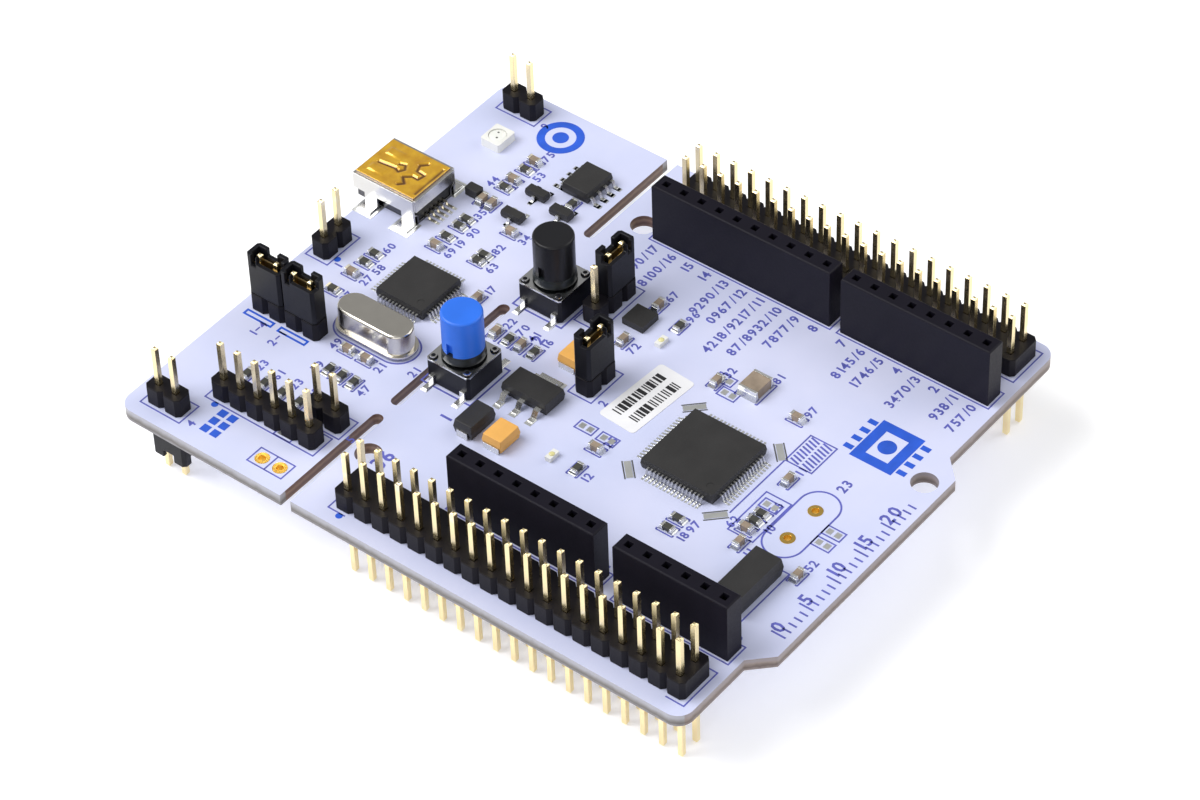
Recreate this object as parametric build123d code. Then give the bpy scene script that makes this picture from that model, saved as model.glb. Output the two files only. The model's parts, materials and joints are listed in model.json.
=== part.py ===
from build123d import *
import math
import os

# Microcontroller development board: a programmer section and a main section on one circuit board.
# Frame: +X to the right header, +Y to the USB connector, +Z up. The board stands on the tips of
# its header pins. Origin: middle of the bounding box, at the pin tips. All sizes in millimetres.

# Driving dimensions
board_width = 70.0
board_length = 82.5
board_thickness = 1.6
pitch = 2.54
tail_below_board = 8.7
usb_overhang = 1.35

board_bottom = tail_below_board
board_top = board_bottom + board_thickness
front_edge = -(board_length + usb_overhang) / 2

# Board outline, measured from the left edge and from the front edge
shoulder_depth = 2.54
tongue_left = 13.41
tongue_right = 46.18
corner_radius = 2.0
mounting_holes = [(43.89, 2.54), (59.13, 53.34), (10.87, 54.61)]
mounting_hole_radius = 1.6
split_line = 57.45
slot_width = 1.5
split_slots = [(-2.0, 16.4), (18.5, 38.9), (53.5, 72.0)]
free_holes = [(3.22, 63.6), (3.22, 61.0), (33.2, 9.54), (28.07, 9.54)]
free_hole_radius = 0.5

# Pins and sockets
pin_side = 0.64
pin_hole_radius = 0.52
pin_hole_clearance = 0.02
pin_above_board = 8.05
pin_tip_bevel = 0.18
short_tail = 3.1
insulator_height = 2.54
insulator_notch = 0.48
long_header_first = 51.08
long_header_count = 19
left_header_columns = [3.5, 6.04]
right_header_columns = [64.46, 67.0]
socket_height = 8.2
socket_width = 2.5
socket_mouth = 0.85
socket_mouth_depth = 0.9
socket_well_x = 1.5
socket_well_y = 1.0
socket_well_bottom = 0.6
socket_tail_slot = (0.85, 0.5)
socket_edge_bevel = 0.15
contact_base = (1.3, 0.7, 0.5)
contact_leaf = (0.2, 0.7, 5.6)
contact_leaf_offset = 0.52
contact_tail = (0.6, 0.3)
seat_gap = 0.02
left_socket_column = 10.87
right_socket_column = 59.13
socket_rows = {
    "power_socket": (left_socket_column, 40.64, 8),
    "analog_socket": (left_socket_column, 17.78, 6),
    "digital_socket_long": (right_socket_column, 49.784, 10),
    "digital_socket_short": (right_socket_column, 22.86, 8),
}

# Small single-row headers: (left, front) of every pin
corner_header_pins = [[(3.5, 79.0), (3.5, 76.46)], [(67.0, 79.0), (67.0, 76.46)]]
link_header_pins = [(22.2, 79.81 - pitch * i) for i in range(4)]
debug_header_pins = [(8.5, 73.68 - pitch * i) for i in range(6)]
usb_side_pins = [(33.4, 80.3), (33.4 + pitch, 80.3)]
option_pins = [(12.2, 62.9), (12.2, 62.9 - pitch)]
current_pins = [(33.53, 41.35), (33.53 + pitch, 41.35)]
power_select_pins = [(43.3 + pitch * i, 48.0) for i in range(3)]

# Jumper shunts
shunt_length = 4.9
shunt_width = 2.38
shunt_height = 5.95
shunt_corner = 0.35
shunt_well = 1.3
shunt_saddle_width = 1.5
shunt_saddle_depth = 1.1
shunt_window_width = 0.7
shunt_window_depth = 1.6
shunt_bridge_floor = 1.0
clip_thickness = 0.2
clip_gap = 0.04
clip_width = 1.1
clip_height = 3.2
clip_lift = 1.2
clip_bridge = 0.5
spare_shunt_drop = 0.35
shunts_along_x = ("power_shunt", "current_shunt")

# Mini-B USB socket
usb_left = 46.58
usb_width = 7.7
usb_length = 9.2
usb_height = 3.9
usb_wall = 0.3
usb_flap_height = 1.7
usb_flap_hold = 0.05
usb_lower_width = 6.3
usb_waist = 1.7
usb_waist_step = 0.5
usb_foot_width = 1.9
usb_foot_reach = 1.3
usb_foot_fronts = [75.6, 81.2]
usb_foot_thickness = 0.25
usb_contact_count = 5
usb_contact_pitch = 0.8
usb_contact_width = 0.3
usb_contact_thickness = 0.13
usb_channel_width = 0.36
usb_channel_height = 0.5
usb_channel_floor = 0.3
usb_run_height = 0.36
usb_run_middle = 0.85
usb_foot_length = 1.1
usb_foot_middle = 0.95
usb_riser_offset = 0.45
usb_blade_length = 6.0
usb_blade_middle = 4.65
usb_block_length = 2.6
usb_tongue = (3.8, 5.0, 0.7)
usb_tongue_floor = 2.1
tape_thickness = 0.06
tape_margin = 0.45

# Push buttons
button_places = {"reset": (43.05, 53.6), "user": (27.0, 53.9)}
switch_side = 6.2
switch_base_height = 3.1
switch_cover_thickness = 0.2
rivet_offset = 2.45
rivet_radius = 0.45
rivet_height = 0.3
plunger_radius = 2.6
plunger_foot_height = 1.1
plunger_stem_radius = 1.5
cap_radius = 2.45
cap_top = 10.0
cap_gap = 0.3
cap_window = (1.0, 0.9, 1.7)
plunger_post_radius = 1.2
plunger_post_height = 3.0
switch_lift = 0.1
switch_bevel = 0.3
switch_well_radius = 1.9
switch_well_depth = 1.6
dome_sphere_radius = 6.0
dome_radius = 1.7
dome_thickness = 0.1
dome_clearance = 0.3
switch_lead_offset = 2.25
switch_lead_width = 0.7
switch_lead_reach = 1.45
switch_lead_rise = 1.2
switch_lead_wall = 0.3
switch_foot_thickness = 0.2

# Chips
mcu_place = (32.1, 24.0)
mcu_side = 10.0
mcu_leads_per_side = 16
link_chip_place = (34.45, 66.98)
link_chip_side = 7.0
link_chip_leads_per_side = 12
quad_pitch = 0.5
quad_lead_width = 0.22
quad_lead_reach = 1.0
quad_height = 1.4
pin_one_dimple = 0.45
pin_one_inset = 1.2
pin_one_depth = 0.05
draft_angle = 9
lead_thickness = 0.13
gull_shoulder = 0.35
gull_toe = 0.6
small_lead_thickness = 0.16
eight_pin_lead = (0.42, 1.05)
transistor_lead = (0.4, 0.55)
transistor_lead_offset = 0.95
regulator_lead = (0.75, 1.75)
regulator_tab = (3.0, 1.75)
regulator_pitch = 2.3
terminal_thickness = 0.14
terminal_foot = 0.9
terminal_lift = 0.16
diode_terminal_width = 1.5
tantalum_terminal_width = 2.2
bead_bevel = 0.1
led_bevel = 0.15
lens_radius = 1.15
lens_depth = 0.2
standoff = 0.1
interface_chip_place = (60.4, 62.7)
regulator_place = (28.9, 45.6)
power_switch_place = (45.8, 43.5)
small_transistors = [(55.6, 66.4), (50.9, 66.3), (54.6, 62.0)]
interface_chip_size = (4.9, 3.9, 1.5)
transistor_size = (1.3, 2.9, 1.0)
regulator_size = (3.5, 6.5, 1.55)
power_switch_size = (3.0, 3.0, 0.9)

# Other parts on the top face
diode_place = (21.2, 47.8)
diode_size = (4.3, 2.7, 1.9)
bead_place = (51.5, 72.7)
bead_size = (1.3, 1.9, 1.2)
tantalum_places = [(21.1, 43.9), (36.2, 45.2)]
tantalum_size = (3.5, 2.8, 1.7)
can_place = (25.9, 66.05)
can_flange = (4.65, 11.05)
can_body = (3.9, 10.3)
can_height = 3.5
can_lift = 0.3
can_flange_thickness = 0.35
can_lead_radius = 0.22
can_lead_offset = 2.44
can_lead_hole_radius = 0.35
slow_crystal_place = (19.4, 8.45)
slow_crystal_size = (8.0, 3.8, 2.5)
status_led_place = (60.5, 76.4)
status_led_size = (3.2, 2.8, 1.2)
chip_led_size = (1.6, 0.8, 0.6)
label_place = (36.2, 35.1)
label_size = (10.6, 5.2)
label_turn = -4
label_thickness = 0.06
label_corner = 0.5

# Chip resistors and capacitors, row by row: (left, front) of the first, number in the row,
# step to the next, chips lying along X
alone = (0, 0)
resistor_rows = [
    ((28.9, 75.3), 1, alone, False),
    ((34.6, 75.3), 2, (1.8, 0), False),
    ((43.7, 70.5), 1, alone, False),
    ((46.0, 70.5), 2, (1.4, 0), False),
    ((54.5, 70.5), 2, (3.9, 0), False),
    ((42.6, 64.9), 2, (1.2, 0), False),
    ((56.8, 62.2), 1, alone, True),
    ((18.4, 63.2), 3, (0, 1.8), True),
    ((12.3, 66.0), 4, (0, 2.6), True),
    ((34.4, 49.9), 2, (0, 3.7), True),
    ((47.7, 39.3), 1, alone, True),
    ((22.7, 34.4), 1, alone, True),
    ((21.4, 20.8), 2, (1.8, 0), False),
    ((27.9, 13.9), 2, (1.3, 0), False),
]
capacitor_rows = [
    ((32.3, 75.3), 1, alone, False),
    ((41.7, 70.5), 1, alone, False),
    ((56.1, 70.5), 2, (4.0, 0), False),
    ((51.2, 69.8), 2, (0, 1.4), True),
    ((48.7, 64.9), 1, alone, False),
    ((37.5, 60.8), 1, alone, True),
    ((22.1, 64.5), 2, (0, 2.7), False),
    ((34.4, 51.8), 2, (0, 3.7), True),
    ((49.0, 43.3), 1, alone, True),
    ((42.0, 43.0), 1, alone, True),
    ((26.4, 34.7), 1, alone, False),
    ((42.9, 30.4), 1, alone, True),
    ((43.5, 19.6), 1, alone, False),
    ((35.1, 14.6), 1, alone, True),
    ((26.4, 13.9), 1, alone, False),
    ((24.2, 13.2), 1, alone, True),
    ((24.0, 5.2), 1, alone, True),
]
large_capacitor_places = [(44.6, 26.2)]
chip_led_places = [(44.3, 39.3), (22.5, 37.8)]
resistor_size = (1.6, 0.8, 0.5)
capacitor_size = (1.6, 0.8, 0.8)
large_capacitor_size = (3.2, 2.5, 1.3)
chip_cap_length = 0.3
chip_cap_skin = 0.03


def spot(left, front, height=0.0):
    """Location over the board's top face, measured from its left and front edges."""
    return Pos(left - board_width / 2, front_edge + front, board_top + height)


def group(shapes):
    """One node of several separate solids."""
    return Compound(children=list(shapes))


def block(width, depth, height, base=0.0):
    """Box that stands on z = base."""
    return Pos(0, 0, base) * Box(width, depth, height, align=(Align.CENTER, Align.CENTER, Align.MIN))


def rod(radius, height, base=0.0):
    """Cylinder that stands on z = base."""
    return Pos(0, 0, base) * Cylinder(radius, height, align=(Align.CENTER, Align.CENTER, Align.MIN))


def upright_edges(shape):
    """Edges parallel to Z."""
    return shape.edges().filter_by(Axis.Z)


# Circuit board

def all_pin_places():
    places = [(x, long_header_first - pitch * i)
              for x in left_header_columns + right_header_columns for i in range(long_header_count)]
    for column, first, count in socket_rows.values():
        places += [(column, first - pitch * i) for i in range(count)]
    return places + small_header_places()


def small_header_places():
    return (corner_header_pins[0] + corner_header_pins[1] + link_header_pins + debug_header_pins
            + usb_side_pins + option_pins + current_pins + power_select_pins)


def board_outline():
    corners = [
        (0, shoulder_depth), (tongue_left - shoulder_depth, shoulder_depth), (tongue_left, 0),
        (tongue_right, 0), (tongue_right + shoulder_depth, shoulder_depth),
        (board_width, shoulder_depth), (board_width, board_length), (0, board_length),
    ]
    face = make_face(Polyline(*corners, close=True))
    outer = [v for v in face.vertices() if v.X < 0.1 or v.X > board_width - 0.1]
    return fillet(outer, corner_radius)


def circuit_board():
    solid = extrude(board_outline(), -board_thickness)
    for start, end in split_slots:
        middle = Pos((start + end) / 2, split_line)
        solid -= extrude(middle * SlotOverall(end - start, slot_width), -board_thickness)
    holes = [(place, mounting_hole_radius) for place in mounting_holes]
    holes += [(place, free_hole_radius) for place in free_holes]
    holes += [(place, pin_hole_radius) for place in all_pin_places()]
    holes += [(place, can_lead_hole_radius) for place in can_lead_places()]
    cutters = [Pos(*place) * Circle(radius) for place, radius in holes]
    solid -= extrude(Sketch() + cutters, -board_thickness)
    return spot(0, 0) * solid


# Pin headers

def header_base(count, rows=1):
    """Insulator of a row of pins along -Y from the origin, with a notch between positions."""
    half = rows * pitch / 2
    side = []
    for i in range(count):
        start = pitch / 2 - pitch * i
        side += [(half - insulator_notch, start), (half, start - insulator_notch),
                 (half, start - pitch + insulator_notch), (half - insulator_notch, start - pitch)]
    points = side + [(-x, y) for x, y in reversed(side)]
    tidy = [p for i, p in enumerate(points) if p != points[i - 1]]
    outline = make_face(Polyline(*tidy, close=True))
    hole_side = pin_side + pin_hole_clearance
    columns = [pitch * (row - (rows - 1) / 2) for row in range(rows)]
    holes = [Pos(x, -pitch * i) * Rectangle(hole_side, hole_side) for x in columns for i in range(count)]
    return extrude(outline - holes, insulator_height)


def square_pin(above, below):
    """Square pin through the board, bevelled at both ends."""
    pin = block(pin_side, pin_side, above + below, -below)
    ends = pin.edges().filter_by(Axis.Z, reverse=True)
    return chamfer(ends, pin_tip_bevel)


def long_header_base(columns):
    middle = sum(columns) / 2
    return spot(middle, long_header_first) * header_base(long_header_count, rows=2)


def long_header_pins(columns):
    pin = square_pin(pin_above_board, board_thickness + tail_below_board)
    return group(spot(x, long_header_first - pitch * i) * pin
                 for x in columns for i in range(long_header_count))


def row_base(pins):
    """Insulator under a single row of pins that runs along Y or along X."""
    along_x = pins[0][1] == pins[1][1]
    turn = Rot(0, 0, 90) if along_x else Rot(0, 0, 0)
    return spot(*pins[0]) * turn * header_base(len(pins))


def small_header_pins():
    short_pin = square_pin(pin_above_board, short_tail)
    long_pin = square_pin(pin_above_board, board_thickness + tail_below_board)
    corner = corner_header_pins[0] + corner_header_pins[1]
    rest = [p for p in small_header_places() if p not in corner]
    return group([spot(*p) * long_pin for p in corner] + [spot(*p) * short_pin for p in rest])


# Sockets

def socket_housing(count):
    """Socket strip along -Y from the first contact, with a mouth and a well for each contact."""
    length = pitch * count
    middle = Pos(0, pitch / 2 - length / 2)
    body = middle * block(socket_width, length, socket_height)
    body = chamfer(body.edges().group_by(Axis.Z)[-1], socket_edge_bevel)
    well_top = socket_height - socket_mouth_depth
    wells = Sketch() + [Pos(0, -pitch * i) * Rectangle(socket_well_x, socket_well_y) for i in range(count)]
    mouths = Sketch() + [Pos(0, -pitch * i) * Rectangle(socket_mouth, socket_mouth) for i in range(count)]
    tails = Sketch() + [Pos(0, -pitch * i) * Rectangle(*socket_tail_slot) for i in range(count)]
    body -= Pos(0, 0, socket_well_bottom) * extrude(wells, well_top - socket_well_bottom)
    body -= Pos(0, 0, well_top) * extrude(mouths, socket_mouth_depth)
    body -= extrude(tails, socket_well_bottom)
    return body


def socket_contact():
    """Two sprung leaves on a base, with a flat tail through the board."""
    floor = socket_well_bottom + seat_gap
    width, depth, height = contact_base
    base = block(width, depth, height, floor)
    leaf = block(*contact_leaf, floor + height - seat_gap)
    leaves = [Pos(side * contact_leaf_offset, 0) * leaf for side in (-1, 1)]
    tail = block(*contact_tail, floor + height / 2 + short_tail, -short_tail)
    return base + leaves + tail


def socket_contacts():
    contact = socket_contact()
    return group(spot(column, first - pitch * i) * contact
                 for column, first, count in socket_rows.values() for i in range(count))


# Jumper shunts

def shunt_housing(low_side=-1):
    """Open-topped shunt body over two positions along Y, with one wall low over the front half."""
    body = block(shunt_width, shunt_length, shunt_height)
    body = chamfer(upright_edges(body), shunt_corner)
    saddle_floor = shunt_height - shunt_saddle_depth
    body -= block(shunt_width * 2, shunt_saddle_width, shunt_saddle_depth, saddle_floor)
    low_wall = Pos(low_side * shunt_width / 2, -shunt_length / 2)
    body -= low_wall * block(shunt_width, shunt_length, shunt_saddle_depth, saddle_floor)
    for side in (-1, 1):
        body -= Pos(0, side * pitch / 2) * block(shunt_well, shunt_well, shunt_height)
    body -= block(shunt_well, pitch, shunt_height, shunt_bridge_floor)
    window = block(shunt_width, shunt_window_width, shunt_window_depth, shunt_height - shunt_window_depth)
    return body - Pos(low_side * shunt_width / 2, pitch / 2) * window


def shunt_clip():
    """Spring clip: two leaves on each side of both pins, joined by a bridge between the pins."""
    offset = pin_side / 2 + clip_gap + clip_thickness / 2
    leaf = block(clip_thickness, pitch + clip_width, clip_height, clip_lift)
    leaves = [Pos(side * offset, 0) * leaf for side in (-1, 1)]
    bridge = block(2 * offset, clip_bridge, clip_height / 2, clip_lift)
    return leaves[0] + leaves[1] + bridge


def shunt_locations():
    """Where each shunt sits: pushed onto its pins, or hanging under the board as a spare."""
    def over(pins, height=insulator_height):
        left = (pins[0][0] + pins[1][0]) / 2
        front = (pins[0][1] + pins[1][1]) / 2
        turn = Rot(0, 0, -90) if pins[0][1] == pins[1][1] else Rot(0, 0, 0)
        return spot(left, front, height) * turn

    under = -board_thickness - spare_shunt_drop
    flip = Rot(0, 180, 0)
    return {
        "link_shunt_rear": over(link_header_pins[:2]),
        "link_shunt_front": over(link_header_pins[2:]),
        "power_shunt": over(power_select_pins[1:]),
        "current_shunt": over(current_pins),
        "spare_shunt_left": over(corner_header_pins[0], under) * flip,
        "spare_shunt_right": over(corner_header_pins[1], under) * flip,
    }


# USB socket

def usb_profile(inset):
    """Cross-section of a mini-B socket in X and Z, wide at the top and narrow at the bottom."""
    top = usb_height - inset
    bottom = inset
    wide = usb_width / 2 - inset
    narrow = usb_lower_width / 2 - inset
    points = [(-narrow, bottom), (narrow, bottom), (narrow, usb_waist - usb_waist_step), (wide, usb_waist),
              (wide, top), (-wide, top), (-wide, usb_waist), (-narrow, usb_waist - usb_waist_step)]
    return make_face(Plane.XZ * Polyline(*points, close=True))


def usb_base():
    """Location of the middle of the connector's rear end, on the board."""
    rear = board_length + usb_overhang - usb_length
    return spot(usb_left, rear)


def usb_shell():
    """Folded steel shell, open at the mouth, with a flap over the rear and two feet on each side."""
    shell = extrude(usb_profile(0), -usb_length) - extrude(usb_profile(usb_wall), -usb_length)
    flap = block(usb_width - 2 * usb_wall, usb_wall, usb_flap_height, usb_height - usb_flap_height)
    shell += Pos(0, usb_flap_hold - usb_wall / 2) * flap
    shell = Pos(0, 0, seat_gap) * shell
    rear = board_length + usb_overhang - usb_length
    edge = usb_width / 2
    for front in usb_foot_fronts:
        for side in (-1, 1):
            foot = Pos(side * (edge + usb_foot_reach / 2 - usb_wall / 2), front - rear)
            shell += foot * block(usb_foot_reach + usb_wall, usb_foot_width, usb_foot_thickness, seat_gap)
            leg = Pos(side * (edge - usb_wall / 2), front - rear)
            shell += leg * block(usb_wall, usb_foot_width, usb_waist + usb_wall, seat_gap)
    return usb_base() * shell


def usb_contact_offsets():
    middle = (usb_contact_count - 1) / 2
    return [usb_contact_pitch * (i - middle) for i in range(usb_contact_count)]


def usb_insulator():
    """Plastic block that fills the rear of the shell, with the tongue that carries the contacts."""
    inset = usb_wall + seat_gap * 2
    rear_block = extrude(usb_profile(inset), -usb_block_length)
    width, length, height = usb_tongue
    tongue = Pos(0, usb_block_length + length / 2) * block(width, length, height, usb_tongue_floor)
    body = Pos(0, usb_wall / 2, seat_gap) * (rear_block + tongue)
    reach = usb_block_length + length
    for x in usb_contact_offsets():
        channel = block(usb_channel_width, usb_block_length + 2 * usb_wall,
                        usb_channel_height, usb_channel_floor)
        body -= Pos(x, usb_block_length / 2) * channel
        body -= Pos(x, reach / 2 + 1) * block(usb_channel_width, reach, usb_contact_thickness * 1.3,
                                              usb_tongue_floor)
    return usb_base() * body


def usb_contacts():
    """Five spring contacts: a foot on the board, a run through the block and a blade in the tongue."""
    wide = usb_contact_width
    thick = usb_contact_thickness
    foot = Pos(0, -usb_foot_middle) * block(wide, usb_foot_length, thick, seat_gap)
    riser = Pos(0, -usb_riser_offset) * block(wide, thick, usb_run_height + thick - seat_gap, seat_gap)
    run = Pos(0, usb_run_middle) * block(wide, usb_block_length, thick, usb_run_height)
    blade = Pos(0, usb_blade_middle) * block(wide, usb_blade_length, thick, usb_tongue_floor + seat_gap * 1.5)
    lower = foot + riser + run
    solids = []
    for x in usb_contact_offsets():
        solids += [Pos(x, 0) * lower, Pos(x, 0) * blade]
    return usb_base() * group(solids)


def usb_tape():
    width = usb_width - 2 * tape_margin
    length = usb_length - tape_margin
    strip = block(width, length, tape_thickness, usb_height + seat_gap)
    return usb_base() * Pos(0, usb_length / 2) * strip


# Push buttons

def cover_floor():
    return switch_lift + switch_base_height


def well_floor():
    return cover_floor() - switch_well_depth


def switch_base():
    body = block(switch_side, switch_side, switch_base_height, switch_lift)
    body = chamfer(upright_edges(body), switch_bevel)
    return body - rod(switch_well_radius, switch_well_depth, well_floor())


def switch_cover():
    """Plate over the base with a hole for the plunger and a rivet at each corner."""
    floor = cover_floor()
    plate = block(switch_side, switch_side, switch_cover_thickness, floor)
    plate = chamfer(upright_edges(plate), switch_bevel)
    plate -= rod(plunger_stem_radius + cap_gap / 2, switch_cover_thickness, floor)
    for x in (-rivet_offset, rivet_offset):
        for y in (-rivet_offset, rivet_offset):
            plate += Pos(x, y) * rod(rivet_radius, rivet_height, floor + switch_cover_thickness)
    return plate


def switch_lead():
    """Folded lead that leaves the left side of the base and lies on the board."""
    half = switch_side / 2
    wall = switch_lead_wall
    upper = Pos(-half - wall / 2, 0) * block(wall, switch_lead_width, switch_lead_rise, seat_gap)
    foot = block(switch_lead_reach, switch_lead_width, switch_foot_thickness, seat_gap)
    foot = Pos(-half - switch_lead_reach / 2, 0) * foot
    return upper + foot


def switch_terminals():
    lead = switch_lead()
    solids = []
    for place in button_places.values():
        for y in (-switch_lead_offset, switch_lead_offset):
            solids.append(spot(*place) * Pos(0, y) * lead)
            solids.append(spot(*place) * Pos(0, y) * Rot(0, 0, 180) * lead)
    return group(solids)


def dome_rise():
    return dome_sphere_radius - math.sqrt(dome_sphere_radius ** 2 - dome_radius ** 2)


def switch_dome():
    """Shallow snap dome on the floor of the well."""
    centre = dome_rise() - dome_sphere_radius
    outer = Pos(0, 0, centre) * Sphere(dome_sphere_radius)
    inner = Pos(0, 0, centre - dome_thickness) * Sphere(dome_sphere_radius)
    return Pos(0, 0, well_floor() + seat_gap) * ((outer - inner) & rod(dome_radius, dome_radius))


def button_plunger():
    """Stem over the dome, with a wide foot above the cover and a post inside the cap."""
    foot_floor = cover_floor() + switch_cover_thickness + cap_gap
    stem_floor = well_floor() + seat_gap + dome_rise() + dome_clearance
    stem = rod(plunger_stem_radius, foot_floor - stem_floor, stem_floor)
    foot = Pos(0, 0, foot_floor) * extrude(Circle(plunger_radius), plunger_foot_height, taper=6)
    post = rod(plunger_post_radius, plunger_post_height, foot_floor + plunger_foot_height)
    return stem + foot + post


def button_cap():
    """Tall round cap with a blind bore for the plunger's post and a small window at the side."""
    floor = cover_floor() + switch_cover_thickness + cap_gap + plunger_foot_height
    cap = rod(cap_radius, cap_top - floor, floor)
    cap = fillet(cap.edges().group_by(Axis.Z)[-1], cap_gap)
    cap -= rod(plunger_post_radius, plunger_post_height + cap_gap, floor)
    return cap - Pos(-cap_radius, 0) * block(*cap_window, floor)


# Chips

def moulded_body(width, depth, height, base=standoff):
    """Moulded package with drafted sides above and below its parting line."""
    half = height / 2
    upper = extrude(Rectangle(width, depth), half, taper=draft_angle)
    lower = extrude(Rectangle(width, depth), -half, taper=draft_angle)
    return Pos(0, 0, base + half) * (upper + lower)


def gull_lead(width, reach, height, thickness=lead_thickness):
    """Gull-wing lead that leaves a body at x = 0 towards +X, at the given height."""
    shoulder = reach * gull_shoulder
    toe = reach * gull_toe
    sole = thickness / 2 + seat_gap / 2
    start = thickness / 2
    centre = Plane.XZ * Polyline((start, height), (shoulder, height), (toe, sole), (reach, sole))
    ribbon = offset(centre, thickness / 2, side=Side.BOTH, kind=Kind.INTERSECTION)
    return extrude(make_face(ribbon.edges()), width / 2, both=True)


def quad_leads(place, side, per_side):
    parting = quad_height / 2 + standoff
    lead = Pos(side / 2, 0) * gull_lead(quad_lead_width, quad_lead_reach, parting)
    first = -(per_side - 1) * quad_pitch / 2
    return [spot(*place) * Rot(0, 0, 90 * turn) * Pos(0, first + quad_pitch * i) * lead
            for turn in range(4) for i in range(per_side)]


def quad_chip(place, side):
    """Quad package with a shallow pin-one dimple near its front left corner."""
    body = moulded_body(side, side, quad_height)
    corner = pin_one_inset - side / 2
    dimple = Pos(corner, corner) * rod(pin_one_dimple, quad_height, quad_height + standoff - pin_one_depth)
    return spot(*place) * (body - dimple)


def leads_on_side(place, size, offsets, width, reach, turn):
    """Leads on one side of a small package: turn gives the side, offsets run along it."""
    across = size[1] if turn in (90, -90) else size[0]
    parting = size[2] / 2 + standoff
    lead = Pos(across / 2, 0) * gull_lead(width, reach, parting, small_lead_thickness)
    return [spot(*place) * Rot(0, 0, turn) * Pos(0, y) * lead for y in offsets]


def small_chip_leads():
    """Leads of the eight-pin chip, the three small transistors and the regulator with its wide tab."""
    eight_pin = [pitch / 2 * (i - 1.5) for i in range(4)]
    solids = []
    for turn in (90, -90):
        solids += leads_on_side(interface_chip_place, interface_chip_size, eight_pin, *eight_pin_lead, turn)
    for place in small_transistors:
        pair = [-transistor_lead_offset, transistor_lead_offset]
        solids += leads_on_side(place, transistor_size, pair, *transistor_lead, 0)
        solids += leads_on_side(place, transistor_size, [0], *transistor_lead, 180)
    three = [-regulator_pitch, 0, regulator_pitch]
    solids += leads_on_side(regulator_place, regulator_size, three, *regulator_lead, 180)
    solids += leads_on_side(regulator_place, regulator_size, [0], *regulator_tab, 0)
    return group(solids)


# Other parts

def folded_terminals(size, lead_width):
    """Two terminals folded under the ends of a moulded package that runs along X."""
    length, _, height = size
    thick = terminal_thickness
    solids = []
    for side in (-1, 1):
        wall = Pos(side * (length / 2 + thick / 2), 0) * block(thick, lead_width, height / 2, seat_gap)
        foot = block(terminal_foot, lead_width, thick - seat_gap, seat_gap)
        foot = Pos(side * (length / 2 - terminal_foot / 3), 0) * foot
        solids.append(wall + foot)
    return solids


def power_part_terminals():
    solids = [spot(*diode_place) * s for s in folded_terminals(diode_size, diode_terminal_width)]
    for place in tantalum_places:
        solids += [spot(*place) * s for s in folded_terminals(tantalum_size, tantalum_terminal_width)]
    return group(solids)


def diodes():
    """Power diode at the main supply and a dark bead behind the USB socket."""
    diode = spot(*diode_place) * moulded_body(*diode_size, terminal_lift)
    bead = spot(*bead_place) * chamfer(upright_edges(block(*bead_size, seat_gap)), bead_bevel)
    return group([diode, bead])


def tantalum_capacitors():
    return group(spot(*place) * moulded_body(*tantalum_size, terminal_lift) for place in tantalum_places)


def stadium(size, height, base=0.0):
    """Upright solid with a stadium outline, longer along Y."""
    width, length = size
    return Pos(0, 0, base) * extrude(Rot(0, 0, 90) * SlotOverall(length, width), height)


def can_lead_places():
    return [(can_place[0], can_place[1] + side * can_lead_offset) for side in (-1, 1)]


def crystal_can():
    """Drawn metal can on a flange, with two wires through the board."""
    body_floor = can_lift + can_flange_thickness
    flange = stadium(can_flange, can_flange_thickness, can_lift)
    body = stadium(can_body, can_height - body_floor, body_floor)
    body = fillet(body.edges().group_by(Axis.Z)[-1], can_flange_thickness)
    wire = rod(can_lead_radius, short_tail + can_lift, -short_tail)
    wires = [Pos(0, side * can_lead_offset) * wire for side in (-1, 1)]
    return spot(*can_place) * (flange + body + wires)


def slow_crystal():
    return spot(*slow_crystal_place) * moulded_body(*slow_crystal_size, standoff / 2)


def status_led():
    """White LED package with a round recess for its lens."""
    body = chamfer(upright_edges(block(*status_led_size, seat_gap)), led_bevel)
    return body - rod(lens_radius, lens_depth, status_led_size[2] + seat_gap - lens_depth)


def indicator_leds():
    chips = [spot(*place) * block(*chip_led_size, seat_gap) for place in chip_led_places]
    return group([spot(*status_led_place) * status_led()] + chips)


def row_places(rows):
    """(left, front, along X) of every chip in the given rows."""
    places = []
    for (left, front), count, (across, along), along_x in rows:
        places += [(left + i * across, front + i * along, along_x) for i in range(count)]
    return places


def chip_parts():
    """Location and size of every chip resistor and capacitor."""
    parts = [(place, resistor_size) for place in row_places(resistor_rows)]
    parts += [(place, capacitor_size) for place in row_places(capacitor_rows)]
    parts += [((*place, True), large_capacitor_size) for place in large_capacitor_places]
    return parts


def chip_pose(left, front, along_x):
    turn = Rot(0, 0, 0) if along_x else Rot(0, 0, 90)
    return spot(left, front) * turn


def chip_cores(sizes):
    """Ceramic cores, between the end caps, of the chip parts of the given sizes."""
    solids = []
    for place, size in chip_parts():
        if size in sizes:
            length, width, height = size
            core = block(length - 2 * chip_cap_length, width, height, seat_gap + chip_cap_skin)
            solids.append(chip_pose(*place) * core)
    return group(solids)


def chip_end_caps():
    solids = []
    for place, size in chip_parts():
        length, width, height = size
        cap = block(chip_cap_length, width + 2 * chip_cap_skin, height + 2 * chip_cap_skin, seat_gap)
        shift = (length - chip_cap_length) / 2
        solids += [chip_pose(*place) * Pos(side * shift, 0) * cap for side in (-1, 1)]
    return group(solids)


def product_label():
    width, depth = label_size
    label = fillet(upright_edges(block(width, depth, label_thickness, seat_gap / 2)), label_corner)
    return spot(*label_place) * Rot(0, 0, label_turn) * label


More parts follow.
